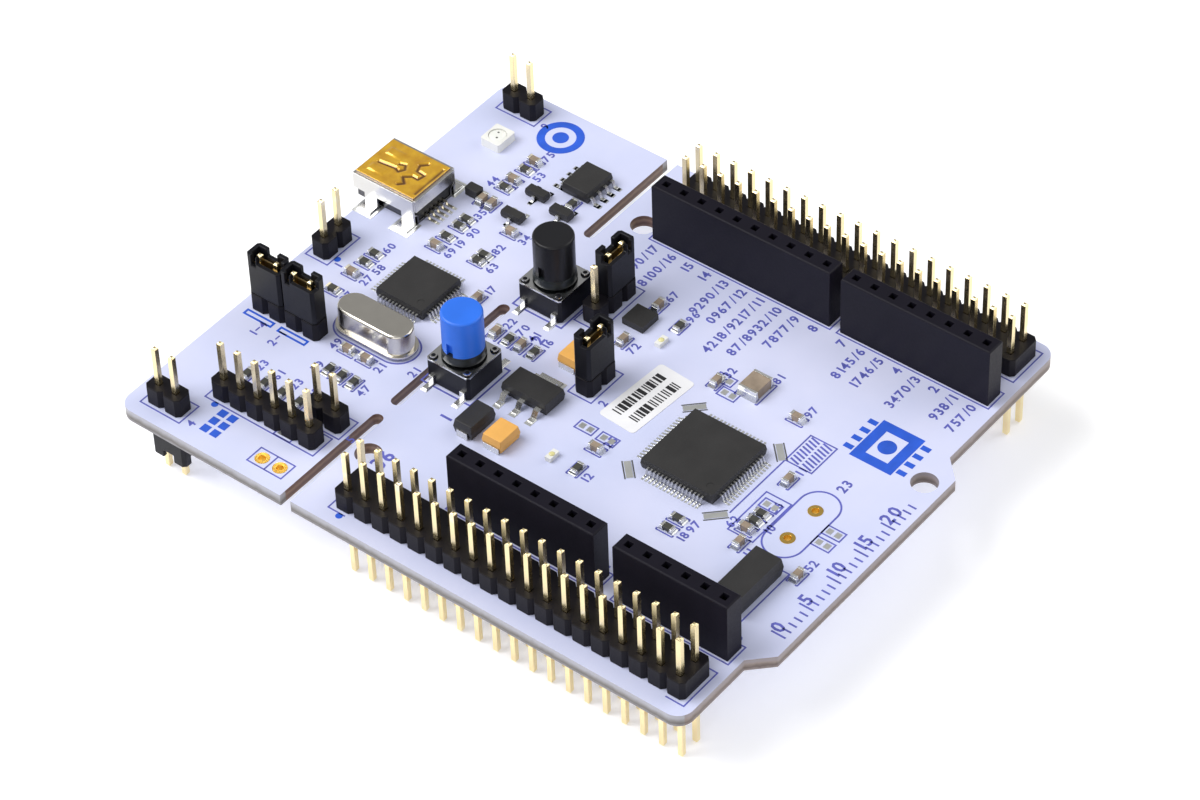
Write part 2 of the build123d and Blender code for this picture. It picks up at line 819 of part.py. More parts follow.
def all_nodes():
    reset = spot(*button_places["reset"])
    user = spot(*button_places["user"])
    nodes = {
        "circuit_board": circuit_board(),
        "left_header_base": long_header_base(left_header_columns),
        "left_header_pins": long_header_pins(left_header_columns),
        "right_header_base": long_header_base(right_header_columns),
        "right_header_pins": long_header_pins(right_header_columns),
        "socket_contacts": socket_contacts(),
        "corner_header_bases": group(row_base(pins) for pins in corner_header_pins),
        "link_header_base": row_base(link_header_pins),
        "debug_header_base": row_base(debug_header_pins),
        "option_header_bases": group(row_base(p) for p in (usb_side_pins, option_pins, current_pins)),
        "power_select_base": row_base(power_select_pins),
        "small_header_pins": small_header_pins(),
        "usb_shell": usb_shell(),
        "usb_insulator": usb_insulator(),
        "usb_contacts": usb_contacts(),
        "usb_tape": usb_tape(),
        "reset_base": reset * switch_base(),
        "user_base": user * switch_base(),
        "switch_covers": group([reset * switch_cover(), user * switch_cover()]),
        "switch_terminals": switch_terminals(),
        "switch_domes": group([reset * switch_dome(), user * switch_dome()]),
        "reset_plunger": reset * button_plunger(),
        "user_plunger": user * button_plunger(),
        "reset_cap": reset * button_cap(),
        "user_cap": user * button_cap(),
        "mcu_body": quad_chip(mcu_place, mcu_side),
        "mcu_leads": group(quad_leads(mcu_place, mcu_side, mcu_leads_per_side)),
        "link_chip_body": quad_chip(link_chip_place, link_chip_side),
        "link_chip_leads": group(quad_leads(link_chip_place, link_chip_side, link_chip_leads_per_side)),
        "interface_chip_body": spot(*interface_chip_place) * moulded_body(*interface_chip_size),
        "sot_bodies": group(spot(*p) * moulded_body(*transistor_size) for p in small_transistors),
        "regulator_body": spot(*regulator_place) * moulded_body(*regulator_size),
        "small_chip_leads": small_chip_leads(),
        "power_switch_chip": spot(*power_switch_place) * block(*power_switch_size, seat_gap),
        "diodes": diodes(),
        "tantalum_capacitors": tantalum_capacitors(),
        "power_part_terminals": power_part_terminals(),
        "crystal_can": crystal_can(),
        "slow_crystal": slow_crystal(),
        "indicator_leds": indicator_leds(),
        "resistors": chip_cores([resistor_size]),
        "ceramic_capacitors": chip_cores([capacitor_size, large_capacitor_size]),
        "chip_end_caps": chip_end_caps(),
        "product_label": product_label(),
    }
    for name, (column, first, count) in socket_rows.items():
        nodes[name] = spot(column, first) * socket_housing(count)
    for name, location in shunt_locations().items():
        low_side = 1 if name in shunts_along_x else -1
        nodes[name] = location * shunt_housing(low_side)
        nodes[name + "_clip"] = location * shunt_clip()
    return nodes


def main():
    os.makedirs("parts", exist_ok=True)
    for name, shape in all_nodes().items():
        export_step(shape, f"parts/{name}.step")


main()
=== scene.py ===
import json
import math
import random

import bmesh
import bpy
from mathutils import Matrix, Vector


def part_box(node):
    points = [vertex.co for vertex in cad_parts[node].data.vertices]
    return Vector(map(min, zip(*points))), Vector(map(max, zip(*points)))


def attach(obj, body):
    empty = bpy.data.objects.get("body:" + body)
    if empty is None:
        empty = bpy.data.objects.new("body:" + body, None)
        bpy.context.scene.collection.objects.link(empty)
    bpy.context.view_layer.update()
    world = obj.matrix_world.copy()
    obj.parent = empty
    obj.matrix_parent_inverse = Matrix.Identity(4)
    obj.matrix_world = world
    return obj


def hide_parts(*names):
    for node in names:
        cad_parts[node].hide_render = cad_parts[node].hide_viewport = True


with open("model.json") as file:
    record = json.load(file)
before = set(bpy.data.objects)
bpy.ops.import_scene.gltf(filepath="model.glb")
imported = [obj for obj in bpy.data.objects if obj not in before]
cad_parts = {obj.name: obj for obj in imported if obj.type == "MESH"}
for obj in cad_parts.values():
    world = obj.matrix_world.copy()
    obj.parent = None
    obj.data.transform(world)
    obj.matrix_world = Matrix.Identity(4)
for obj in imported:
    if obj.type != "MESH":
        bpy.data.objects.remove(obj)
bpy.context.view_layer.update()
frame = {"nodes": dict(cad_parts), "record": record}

# Everything is in metres in the part's own frame. Places on the board are in millimetres from its
# left and front edges, and spot() turns them into the frame.
MM = 0.001
PITCH = 2.54
board_low, board_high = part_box("circuit_board")
BOARD_TOP = board_high.z
BOARD_BOTTOM = board_low.z
nodes = frame["nodes"]
BODIES = frame["record"]["behaviour"]["bodies"]

PRINT_THICKNESS = 0.03 * MM
PRINT_SINK = 0.01 * MM
FINE_LINE = 0.17
NUMBER_HEIGHT = 1.12
STROKE_GROWTH = 0.022
LEGEND_HEIGHT = 1.25
TURNED_PAD_SIZE = (2.65, 0.8)
TURNED_PADS = (((38.25, 29.97), -45), ((38.25, 18.02), 45), ((26.07, 29.86), 45), ((26.15, 17.89), -45))
USB_FOOT_FRONTS = (75.6, 81.2)
USB_FOOT_REACH = 5.15
USB_FOOT_LENGTH = 1.5
USB_FOOT_HALF_WIDTH = 0.95
LABEL_TURN = -4
LABEL_BAR_HEIGHT = 1.35

random.seed(11)


def spot(left, front):
    """Place in X and Y from millimetres off the board's left and front edges."""
    return Vector((board_low.x + left * MM, board_low.y + front * MM))


# Materials

def new_material(name):
    """An empty node material and the few parts every surface here starts from."""
    material = bpy.data.materials.new(name)
    material.use_nodes = True
    tree = material.node_tree
    shader = tree.nodes["Principled BSDF"]
    place = tree.nodes.new("ShaderNodeTexCoord")
    return material, tree, shader, place.outputs["Object"]


def noise(tree, place, scale, detail=4.0):
    texture = tree.nodes.new("ShaderNodeTexNoise")
    texture.inputs["Scale"].default_value = scale
    texture.inputs["Detail"].default_value = detail
    tree.links.new(place, texture.inputs["Vector"])
    return texture.outputs["Fac"]


def ramp(tree, factor, stops):
    """Colour ramp through (position, colour) stops."""
    mix = tree.nodes.new("ShaderNodeValToRGB")
    tree.links.new(factor, mix.inputs["Fac"])
    elements = mix.color_ramp.elements
    while len(elements) < len(stops):
        elements.new(0.5)
    for element, (position, color) in zip(elements, stops):
        element.position = position
        element.color = (*color, 1.0)
    return mix.outputs["Color"]


def shade(color, amount):
    return tuple(max(0.0, min(1.0, c * amount)) for c in color)


def bump(tree, shader, height, strength, distance):
    relief = tree.nodes.new("ShaderNodeBump")
    relief.inputs["Strength"].default_value = strength
    relief.inputs["Distance"].default_value = distance * MM
    tree.links.new(height, relief.inputs["Height"])
    tree.links.new(relief.outputs["Normal"], shader.inputs["Normal"])


def spread(tree, factor, low, high):
    """Maps a 0..1 factor to a narrower range, for roughness."""
    fit = tree.nodes.new("ShaderNodeMapRange")
    fit.inputs["To Min"].default_value = low
    fit.inputs["To Max"].default_value = high
    tree.links.new(factor, fit.inputs["Value"])
    return fit.outputs["Result"]


def surface(name, color, roughness, metallic=0.0, contrast=0.1, grain=900.0, relief=0.25,
            depth=0.02, coat=0.0, wear=None, specular=0.5):
    """Surface with cloudy colour, uneven gloss and a fine relief. Wear lightens patches."""
    material, tree, shader, place = new_material(name)
    clouds = noise(tree, place, grain * 0.25)
    fine = noise(tree, place, grain * 4.0, 6.0)
    stops = [(0.3, shade(color, 1.0 - contrast)), (0.7, shade(color, 1.0 + contrast))]
    if wear is not None:
        stops = [(0.3, shade(color, 1.0 - contrast)), (0.62, color), (0.78, wear)]
    tree.links.new(ramp(tree, clouds, stops), shader.inputs["Base Color"])
    tree.links.new(spread(tree, fine, roughness * 0.75, min(1.0, roughness * 1.3)),
                   shader.inputs["Roughness"])
    shader.inputs["Metallic"].default_value = metallic
    shader.inputs["Specular IOR Level"].default_value = specular
    shader.inputs["Coat Weight"].default_value = coat
    shader.inputs["Coat Roughness"].default_value = 0.12
    bump(tree, shader, fine, relief, depth)
    return material


def board_material():
    """Pale solder mask on the faces, brown laminate with layers on the cut edges; painted light and shade
    make the side edges, and partly the front edge, grey.
    """
    material, tree, shader, place = new_material("solder_mask")
    axes = tree.nodes.new("ShaderNodeSeparateXYZ")
    geometry = tree.nodes.new("ShaderNodeTexCoord")
    tree.links.new(geometry.outputs["Normal"], axes.inputs["Vector"])
    upright = tree.nodes.new("ShaderNodeMath")
    upright.operation = "ABSOLUTE"
    tree.links.new(axes.outputs["Z"], upright.inputs[0])
    is_face = tree.nodes.new("ShaderNodeMath")
    is_face.operation = "GREATER_THAN"
    is_face.inputs[1].default_value = 0.5
    tree.links.new(upright.outputs["Value"], is_face.inputs[0])

    mask = ramp(tree, noise(tree, place, 55.0), [(0.35, (0.60, 0.64, 0.87)), (0.7, (0.70, 0.72, 0.93))])
    across = tree.nodes.new("ShaderNodeSeparateXYZ")
    tree.links.new(place, across.inputs["Vector"])
    depth = tree.nodes.new("ShaderNodeMapRange")
    depth.inputs["From Min"].default_value = BOARD_BOTTOM
    depth.inputs["From Max"].default_value = BOARD_TOP
    tree.links.new(across.outputs["Z"], depth.inputs["Value"])
    speckle = noise(tree, place, 1100.0, 5.0)
    wander = tree.nodes.new("ShaderNodeMath")
    wander.operation = "MULTIPLY_ADD"
    wander.inputs[1].default_value = 0.34
    tree.links.new(speckle, wander.inputs[0])
    tree.links.new(depth.outputs["Result"], wander.inputs[2])
    brown = ramp(tree, wander.outputs["Value"],
                 [(0.15, (0.25, 0.16, 0.12)), (0.45, (0.12, 0.060, 0.040)), (0.75, (0.28, 0.17, 0.12)),
                  (0.95, (0.16, 0.085, 0.060))])
    painted_light_grey = ramp(tree, wander.outputs["Value"],
                [(0.15, (0.27, 0.26, 0.28)), (0.45, (0.11, 0.10, 0.10)), (0.62, (0.20, 0.19, 0.19)),
                 (0.92, (0.36, 0.36, 0.41))])
    # painted light and shade: the one laminate is grey on the left and right edges, half grey near the front
    # edge and brown on the other edges, slots and holes, by how each side faces the light
    sideways = tree.nodes.new("ShaderNodeMath")
    sideways.operation = "ABSOLUTE"
    tree.links.new(across.outputs["X"], sideways.inputs[0])
    outside = tree.nodes.new("ShaderNodeMath")
    outside.operation = "GREATER_THAN"
    outside.inputs[1].default_value = board_high.x - 0.9 * MM
    tree.links.new(sideways.outputs["Value"], outside.inputs[0])
    front = tree.nodes.new("ShaderNodeMapRange")
    front.inputs["From Min"].default_value = board_low.y + 6 * MM
    front.inputs["From Max"].default_value = board_low.y + 4 * MM
    front.inputs["To Max"].default_value = 0.55
    tree.links.new(across.outputs["Y"], front.inputs["Value"])
    painted_light_share = tree.nodes.new("ShaderNodeMath")
    painted_light_share.operation = "MAXIMUM"
    tree.links.new(outside.outputs["Value"], painted_light_share.inputs[0])
    tree.links.new(front.outputs["Result"], painted_light_share.inputs[1])
    edge = tree.nodes.new("ShaderNodeMix")
    edge.data_type = "RGBA"
    tree.links.new(painted_light_share.outputs["Value"], edge.inputs["Factor"])
    tree.links.new(brown, edge.inputs["A"])
    tree.links.new(painted_light_grey, edge.inputs["B"])
    colour = tree.nodes.new("ShaderNodeMix")
    colour.data_type = "RGBA"
    tree.links.new(is_face.outputs["Value"], colour.inputs["Factor"])
    tree.links.new(edge.outputs["Result"], colour.inputs["A"])
    tree.links.new(mask, colour.inputs["B"])
    tree.links.new(colour.outputs["Result"], shader.inputs["Base Color"])

    gloss = noise(tree, place, 2500.0)
    tree.links.new(spread(tree, gloss, 0.30, 0.46), shader.inputs["Roughness"])
    bump(tree, shader, noise(tree, place, 1400.0), 0.12, 0.03)
    return material


def tape_material():
    """Amber film over bright steel, with painted shade: dark brown where the film sinks into the pressed
    folds.
    """
    material, tree, shader, place = new_material("amber_tape")
    clouds = noise(tree, place, 700.0)
    amber = ramp(tree, clouds, [(0.3, (0.62, 0.31, 0.010)), (0.7, (0.86, 0.50, 0.025))])
    # painted shade: the amber turns dark brown where the film sinks below its flat level, in the pressed
    # grooves and folds
    level = tree.nodes.new("ShaderNodeSeparateXYZ")
    tree.links.new(place, level.inputs["Vector"])
    depth = tree.nodes.new("ShaderNodeMapRange")
    depth.inputs["From Min"].default_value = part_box("usb_tape")[1].z + 0.02 * MM
    depth.inputs["From Max"].default_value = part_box("usb_tape")[1].z + 0.15 * MM
    tree.links.new(level.outputs["Z"], depth.inputs["Value"])
    colour = tree.nodes.new("ShaderNodeMix")
    colour.data_type = "RGBA"
    colour.inputs["A"].default_value = (0.13, 0.045, 0.004, 1.0)
    tree.links.new(depth.outputs["Result"], colour.inputs["Factor"])
    tree.links.new(amber, colour.inputs["B"])
    tree.links.new(colour.outputs["Result"], shader.inputs["Base Color"])
    shader.inputs["Metallic"].default_value = 0.4
    shader.inputs["Roughness"].default_value = 0.22
    shader.inputs["Coat Weight"].default_value = 0.8
    shader.inputs["Coat Roughness"].default_value = 0.08
    bump(tree, shader, noise(tree, place, 1600.0), 0.35, 0.08)
    return material


def shell_material():
    """Bright steel, with painted shade: near black in the recess below the shell's waist."""
    material = surface("usb_steel", (0.70, 0.69, 0.67), 0.22, 1.0, 0.10, 500, 0.10)
    tree = material.node_tree
    shader = tree.nodes["Principled BSDF"]
    bright = shader.inputs["Base Color"].links[0].from_socket
    low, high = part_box("usb_shell")
    place = tree.nodes.new("ShaderNodeTexCoord")
    axes = tree.nodes.new("ShaderNodeSeparateXYZ")
    tree.links.new(place.outputs["Object"], axes.inputs["Vector"])
    beside = tree.nodes.new("ShaderNodeMath")
    beside.operation = "SUBTRACT"
    beside.inputs[1].default_value = (low.x + high.x) / 2
    tree.links.new(axes.outputs["X"], beside.inputs[0])
    reach = tree.nodes.new("ShaderNodeMath")
    reach.operation = "ABSOLUTE"
    tree.links.new(beside.outputs["Value"], reach.inputs[0])
    # painted shade: below the waist and within 3.45 mm of the middle, the steel's colour is mixed to near
    # black
    under = tree.nodes.new("ShaderNodeMapRange")
    under.inputs["From Min"].default_value = BOARD_TOP + 1.65 * MM
    under.inputs["From Max"].default_value = BOARD_TOP + 1.35 * MM
    tree.links.new(axes.outputs["Z"], under.inputs["Value"])
    inside = tree.nodes.new("ShaderNodeMath")
    inside.operation = "LESS_THAN"
    inside.inputs[1].default_value = 3.45 * MM
    tree.links.new(reach.outputs["Value"], inside.inputs[0])
    recess_painted_shade = tree.nodes.new("ShaderNodeMath")
    recess_painted_shade.operation = "MULTIPLY"
    tree.links.new(under.outputs["Result"], recess_painted_shade.inputs[0])
    tree.links.new(inside.outputs["Value"], recess_painted_shade.inputs[1])
    colour = tree.nodes.new("ShaderNodeMix")
    colour.data_type = "RGBA"
    colour.inputs["B"].default_value = (0.10, 0.10, 0.11, 1.0)
    tree.links.new(recess_painted_shade.outputs["Value"], colour.inputs["Factor"])
    tree.links.new(bright, colour.inputs["A"])
    tree.links.new(colour.outputs["Result"], shader.inputs["Base Color"])
    return material


MATERIALS = {
    "solder_mask": board_material(),
    "header_plastic": surface("header_plastic", (0.007, 0.006, 0.009), 0.42, relief=0.35, specular=0.16),
    "socket_plastic": surface("socket_plastic", (0.008, 0.007, 0.013), 0.42, relief=0.4, specular=0.14),
    "shunt_plastic": surface("shunt_plastic", (0.006, 0.006, 0.009), 0.36, relief=0.3, specular=0.2),
    "pin_gold": surface("pin_gold", (0.95, 0.80, 0.47), 0.24, 1.0, 0.08, 1500, 0.10, wear=(0.96, 0.89, 0.70)),
    "contact_metal": surface("contact_metal", (0.82, 0.77, 0.64), 0.28, 1.0, 0.12, 1500, 0.15),
    "clip_metal": surface("clip_metal", (0.42, 0.31, 0.15), 0.42, 1.0, 0.12, 1500, 0.15),
    "usb_steel": shell_material(),
    "usb_plastic": surface("usb_plastic", (0.012, 0.012, 0.012), 0.5),
    "amber_tape": tape_material(),
    "switch_plastic": surface("switch_plastic", (0.007, 0.007, 0.010), 0.35, relief=0.3, specular=0.2),
    "switch_metal": surface("switch_metal", (0.62, 0.62, 0.62), 0.16, 1.0, 0.08, 900, 0.08),
    "plunger_plastic": surface("plunger_plastic", (0.010, 0.014, 0.016), 0.35),
    "cap_black": surface("cap_black", (0.009, 0.009, 0.011), 0.34, relief=0.3, specular=0.3),
    "cap_blue": surface("cap_blue", (0.020, 0.16, 0.78), 0.38, contrast=0.08, relief=0.25),
    "chip_plastic": surface("chip_plastic", (0.021, 0.020, 0.020), 0.52,
                            contrast=0.18, grain=1400, relief=0.8),
    "lead_tin": surface("lead_tin", (0.68, 0.68, 0.66), 0.26, 1.0, 0.10, 1800, 0.2),
    "tantalum_plastic": surface("tantalum_plastic", (0.85, 0.44, 0.10), 0.5,
                                contrast=0.1, grain=1200, relief=0.5),
    "crystal_metal": surface("crystal_metal", (0.66, 0.63, 0.57), 0.24, 1.0, 0.05, 200, 0.03),
    "led_plastic": surface("led_plastic", (0.86, 0.86, 0.82), 0.35),
    "resistor_ceramic": surface("resistor_ceramic", (0.055, 0.055, 0.045), 0.4, grain=2500),
    "capacitor_ceramic": surface("capacitor_ceramic", (0.30, 0.235, 0.175), 0.48, contrast=0.22, grain=2500),
    "end_cap_tin": surface("end_cap_tin", (0.84, 0.84, 0.81), 0.32, 1.0, 0.12, 2500, 0.3),
    "label_paper": surface("label_paper", (0.86, 0.86, 0.88), 0.75, contrast=0.03, grain=1500, relief=0.3),
}
silk_ink = surface("silk_ink", (0.105, 0.115, 0.46), 0.55, contrast=0.2, grain=2500)
bold_ink = surface("bold_ink", (0.018, 0.10, 0.62), 0.5, contrast=0.15, grain=1500)
black_ink = surface("black_ink", (0.012, 0.012, 0.014), 0.6, contrast=0.2, grain=2500)
grey_ink = surface("grey_ink", (0.085, 0.085, 0.082), 0.6, contrast=0.2, grain=2500)
solder = surface("solder", (0.66, 0.67, 0.66), 0.26, 1.0, 0.10, 1200, 0.3, 0.05)
bare_pad = surface("bare_pad", (0.74, 0.75, 0.73), 0.34, 0.85, 0.08, 1200, 0.3)
gold_pad = surface("gold_pad", (0.95, 0.62, 0.16), 0.25, 1.0, 0.10, 900, 0.2)
lens_clear = surface("lens_clear", (0.90, 0.91, 0.86), 0.12, coat=0.6)
lens_yellow = surface("lens_yellow", (0.80, 0.74, 0.34), 0.2, coat=0.5)


def slot_of(node):
    for entry in frame["record"]["subparts"]:
        if entry["node"] == node:
            return entry["material_slot"]
    raise KeyError(node)


def soften(node, width, segments=2, angle=32):
    """Rounds a CAD node's sharp edges by a bevel in millimetres."""
    obj = nodes[node]
    weld = obj.modifiers.new("weld", "WELD")
    weld.merge_threshold = 0.002 * MM
    bevel = obj.modifiers.new("bevel", "BEVEL")
    bevel.width = width * MM
    bevel.segments = segments
    bevel.limit_method = "ANGLE"
    bevel.angle_limit = math.radians(angle)
    bevel.harden_normals = True


for name, obj in nodes.items():
    obj.data.materials.clear()
    obj.data.materials.append(MATERIALS[slot_of(name)])
    for polygon in obj.data.polygons:
        polygon.material_index = 0

EDGE_RADII = {
    "left_header_base": 0.10, "right_header_base": 0.10, "corner_header_bases": 0.10,
    "link_header_base": 0.10, "debug_header_base": 0.10, "option_header_bases": 0.10,
    "power_select_base": 0.10, "power_socket": 0.05, "analog_socket": 0.05,
    "digital_socket_long": 0.05, "digital_socket_short": 0.05, "usb_shell": 0.10,
    "usb_insulator": 0.05, "reset_base": 0.08, "user_base": 0.08, "switch_covers": 0.05,
    "reset_plunger": 0.10, "user_plunger": 0.10, "mcu_body": 0.05, "link_chip_body": 0.05,
    "interface_chip_body": 0.05, "sot_bodies": 0.05, "regulator_body": 0.06,
    "power_switch_chip": 0.04, "diodes": 0.10, "tantalum_capacitors": 0.10,
    "crystal_can": 0.06, "slow_crystal": 0.06, "resistors": 0.03, "ceramic_capacitors": 0.06,
    "chip_end_caps": 0.05, "switch_terminals": 0.05, "power_part_terminals": 0.03,
    "left_header_pins": 0.03, "right_header_pins": 0.03, "small_header_pins": 0.03,
}
SHUNTS = [n for n in nodes if "shunt" in n and not n.endswith("_clip")]
for name, width in EDGE_RADII.items():
    soften(name, width)
for name in SHUNTS:
    soften(name, 0.14, 3)


# Reading places out of the frame

def solids_of(node):
    """(low, high) box of every separate solid in a CAD node."""
    mesh = nodes[node].data
    corner = {}
    for vertex in mesh.vertices:
        corner[vertex.index] = tuple(round(c / (0.001 * MM)) for c in vertex.co)
    parent = {key: key for key in corner.values()}

    def root(key):
        while parent[key] != key:
            parent[key] = parent[parent[key]]
            key = parent[key]
        return key

    for polygon in mesh.polygons:
        keys = [corner[i] for i in polygon.vertices]
        for key in keys[1:]:
            parent[root(key)] = root(keys[0])
    groups = {}
    for vertex in mesh.vertices:
        groups.setdefault(root(corner[vertex.index]), []).append(vertex.co)
    boxes = []
    for points in groups.values():
        low = Vector(min(p[i] for p in points) for i in range(3))
        high = Vector(max(p[i] for p in points) for i in range(3))
        boxes.append((low, high))
    return sorted(boxes, key=lambda box: tuple(round(c, 6) for c in box[0]))


def middle(box):
    return (box[0] + box[1]) / 2


# Building thin printed or plated layers

class Layer:
    """Flat outlines at one height, made into one thin closed piece."""

    def __init__(self):
        self.mesh = bmesh.new()

    def outline(self, points):
        corners = [self.mesh.verts.new((p[0], p[1], 0.0)) for p in points]
        self.mesh.faces.new(corners)

    def ribbon(self, points, width, closed=False):
        """Stroke of even width, in millimetres, along points in the frame, with mitred corners."""
        points = [Vector(p[:2]) for p in points]
        count = len(points)
        half = width * MM / 2
        pairs = []
        for i, point in enumerate(points):
            before = points[(i - 1) % count] if closed or i > 0 else None
            after = points[(i + 1) % count] if closed or i < count - 1 else None
            ahead = (after - point).normalized() if after is not None else (point - before).normalized()
            behind = (point - before).normalized() if before is not None else ahead
            tangent = (ahead + behind).normalized()
            normal = Vector((-tangent.y, tangent.x))
            reach = half / max(0.35, normal.dot(Vector((-ahead.y, ahead.x))))
            pairs.append((self.mesh.verts.new((*(point + normal * reach), 0.0)),
                          self.mesh.verts.new((*(point - normal * reach), 0.0))))
        spans = count if closed else count - 1
        for i in range(spans):
            (a, b), (c, d) = pairs[i], pairs[(i + 1) % count]
            self.mesh.faces.new((a, b, d, c))

    def rectangle(self, low, high, width):
        self.ribbon([(low.x, low.y), (high.x, low.y), (high.x, high.y), (low.x, high.y)], width, True)

    def bar(self, low, high):
        self.outline([(low.x, low.y), (high.x, low.y), (high.x, high.y), (low.x, high.y)])

    def disc(self, centre, radius, steps=28):
        self.outline([round_point(centre, radius * MM, i / steps) for i in range(steps)])

    def ring(self, centre, inner, outer, steps=32):
        line = [round_point(centre, (inner + outer) / 2 * MM, i / steps) for i in range(steps)]
        self.ribbon(line, outer - inner, True)

    def number(self, text, place, height, turn=0.0, align=0.0):
        """Digits whose base line starts at place. Align 1 ends it there instead."""
        size = height / GLYPH_HEIGHT * MM
        length = sum(glyphs[c][2] for c in text) * size
        rotate = Matrix.Rotation(turn, 2)
        cursor = -length * align
        for c in text:
            corners, faces, advance = glyphs[c]
            made = []
            for x, y in corners:
                at = Vector(place[:2]) + rotate @ Vector((cursor + x * size, y * size))
                made.append(self.mesh.verts.new((at.x, at.y, 0.0)))
            for face in faces:
                self.mesh.faces.new([made[i] for i in face])
            cursor += advance * size

    def finish(self, name, material, body="board", height=BOARD_TOP, thickness=PRINT_THICKNESS):
        """Closes the layer to its thickness and lets it ride on its body."""
        bmesh.ops.recalc_face_normals(self.mesh, faces=self.mesh.faces)
        for face in self.mesh.faces:
            if face.normal.z < 0:
                face.normal_flip()
        mesh = bpy.data.meshes.new(name)
        self.mesh.to_mesh(mesh)
        self.mesh.free()
        obj = bpy.data.objects.new(name, mesh)
        bpy.context.scene.collection.objects.link(obj)
        obj.location.z = height - PRINT_SINK
        solid = obj.modifiers.new("thickness", "SOLIDIFY")
        solid.thickness = thickness + PRINT_SINK
        solid.offset = 1.0
        mesh.materials.append(material)
        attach(obj, body)
        return obj


def round_point(centre, radius, share):
    angle = share * math.tau
    return (centre[0] + radius * math.cos(angle), centre[1] + radius * math.sin(angle))


GLYPH_HEIGHT = 0.73


def make_glyphs():
    """Plain digits and a dash as flat outlines: (corners, faces, advance)."""
    made = {}
    for c in "0123456789":
        curve = bpy.data.curves.new("digit", "FONT")
        curve.body = c
        curve.resolution_u = 2
        curve.offset = STROKE_GROWTH
        obj = bpy.data.objects.new("digit", curve)
        bpy.context.scene.collection.objects.link(obj)
        graph = bpy.context.evaluated_depsgraph_get()
        mesh = bpy.data.meshes.new_from_object(obj.evaluated_get(graph))
        corners = [(v.co.x, v.co.y) for v in mesh.vertices]
        faces = [list(p.vertices) for p in mesh.polygons]
        made[c] = (corners, faces, max(x for x, _ in corners) + 0.12)
        bpy.data.objects.remove(obj)
        bpy.data.curves.remove(curve)
        bpy.data.meshes.remove(mesh)
    made["-"] = ([(0.06, 0.30), (0.54, 0.30), (0.54, 0.41), (0.06, 0.41)], [[0, 1, 2, 3]], 0.62)
    made["/"] = ([(0.04, -0.04), (0.14, -0.04), (0.44, 0.76), (0.34, 0.76)], [[0, 1, 2, 3]], 0.48)
    return made


glyphs = make_glyphs()
fine = Layer()
bold = Layer()
pads = Layer()
gold = Layer()
grey = Layer()


# Printed marks that follow the parts

def frame_box(box, margin):
    grow = Vector((margin * MM, margin * MM, 0))
    return box[0] - grow, box[1] + grow


def part_number():
    return str(random.randint(10, 99))


def mark_chip_parts():
    """Outline and number beside every chip resistor and capacitor."""
    cores = solids_of("resistors") + solids_of("ceramic_capacitors")
    for core in cores:
        size = core[1] - core[0]
        along_x = size.x > size.y
        grow = Vector((0.62, 0.34, 0)) if along_x else Vector((0.34, 0.62, 0))
        low = core[0] - grow * MM
        high = core[1] + grow * MM
        gap = 0.55 * MM
        if along_x:
            for y in (low.y, high.y):
                fine.ribbon([(low.x, y), (high.x, y)], FINE_LINE)
            for x in (low.x, high.x):
                fine.ribbon([(x, low.y), (x, low.y + gap / 2)], FINE_LINE)
                fine.ribbon([(x, high.y), (x, high.y - gap / 2)], FINE_LINE)
        else:
            for x in (low.x, high.x):
                fine.ribbon([(x, low.y), (x, high.y)], FINE_LINE)
            for y in (low.y, high.y):
                fine.ribbon([(low.x, y), (low.x + gap / 2, y)], FINE_LINE)
                fine.ribbon([(high.x, y), (high.x - gap / 2, y)], FINE_LINE)
        for place in ((high.x + 0.25 * MM, low.y), (low.x, low.y - (NUMBER_HEIGHT + 0.3) * MM),
                      (low.x - 2.2 * MM, low.y), (low.x, high.y + 0.3 * MM)):
            if free_spot(Vector(place) + Vector((1.0, 0.55)) * MM, 1.0):
                fine.number(part_number(), place, NUMBER_HEIGHT)
                note_print(place)
                break


def footprints():
    """Boxes of everything that stands on the board, as ((low x, low y), (high x, high y))."""
    boxes = []
    for name in nodes:
        if name == "circuit_board" or name in BODIES["spare_shunt_left"]:
            continue
        for low, high in solids_of(name):
            if high.z > BOARD_TOP and low.z < BOARD_TOP + 1.5 * MM:
                boxes.append((low, high))
    return boxes


def note_print(place):
    """Keeps later numbers off a printed one."""
    corner = Vector((*place, BOARD_TOP))
    occupied.append((corner, corner + Vector((1.7, NUMBER_HEIGHT, 0)) * MM))


def free_spot(point, margin=0.55):
    """Whether a point on the board is clear of every part."""
    reach = margin * MM
    if not board_low.x + MM < point.x < board_high.x - MM:
        return False
    if not board_low.y + MM < point.y < board_high.y - MM:
        return False
    for low, high in occupied:
        if low.x - reach < point.x < high.x + reach and low.y - reach < point.y < high.y + reach:
            return False
    return True


occupied = footprints()


def legend(number, length):
    """Groups of digits ending in a pin number, of about the length given."""
    text = str(number)
    while len(text) + 2 < length:
        group = min(4, length - len(text) - 1)
        text = "".join(random.choice("0123456789") for _ in range(group)) + "/" + text
    return text


def mark_pin_legends():
    """Numbered legends beside the two shield sockets on the right, one for each contact."""
    for name, first, lengths in (("digital_socket_long", 8, (2, 6, 10, 12, 8, 7, 3, 4, 7, 7)),
                                 ("digital_socket_short", 0, (5, 5, 2, 6, 2, 6, 6, 2))):
        low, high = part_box(name)
        for i, length in enumerate(lengths):
            front = low.y + (i + 0.55) * PITCH * MM - LEGEND_HEIGHT / 2 * MM
            fine.number(legend(first + i, length), (low.x - 0.7 * MM, front), LEGEND_HEIGHT, align=1.0)
    for name, first in (("power_socket", 1), ("analog_socket", 0)):
        low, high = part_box(name)
        count = round((high.y - low.y) / (PITCH * MM))
        for i in range(count):
            front = low.y + (i + 0.5) * PITCH * MM - NUMBER_HEIGHT / 2 * MM
            fine.number(str(first + i), (high.x + 0.6 * MM, front), NUMBER_HEIGHT)


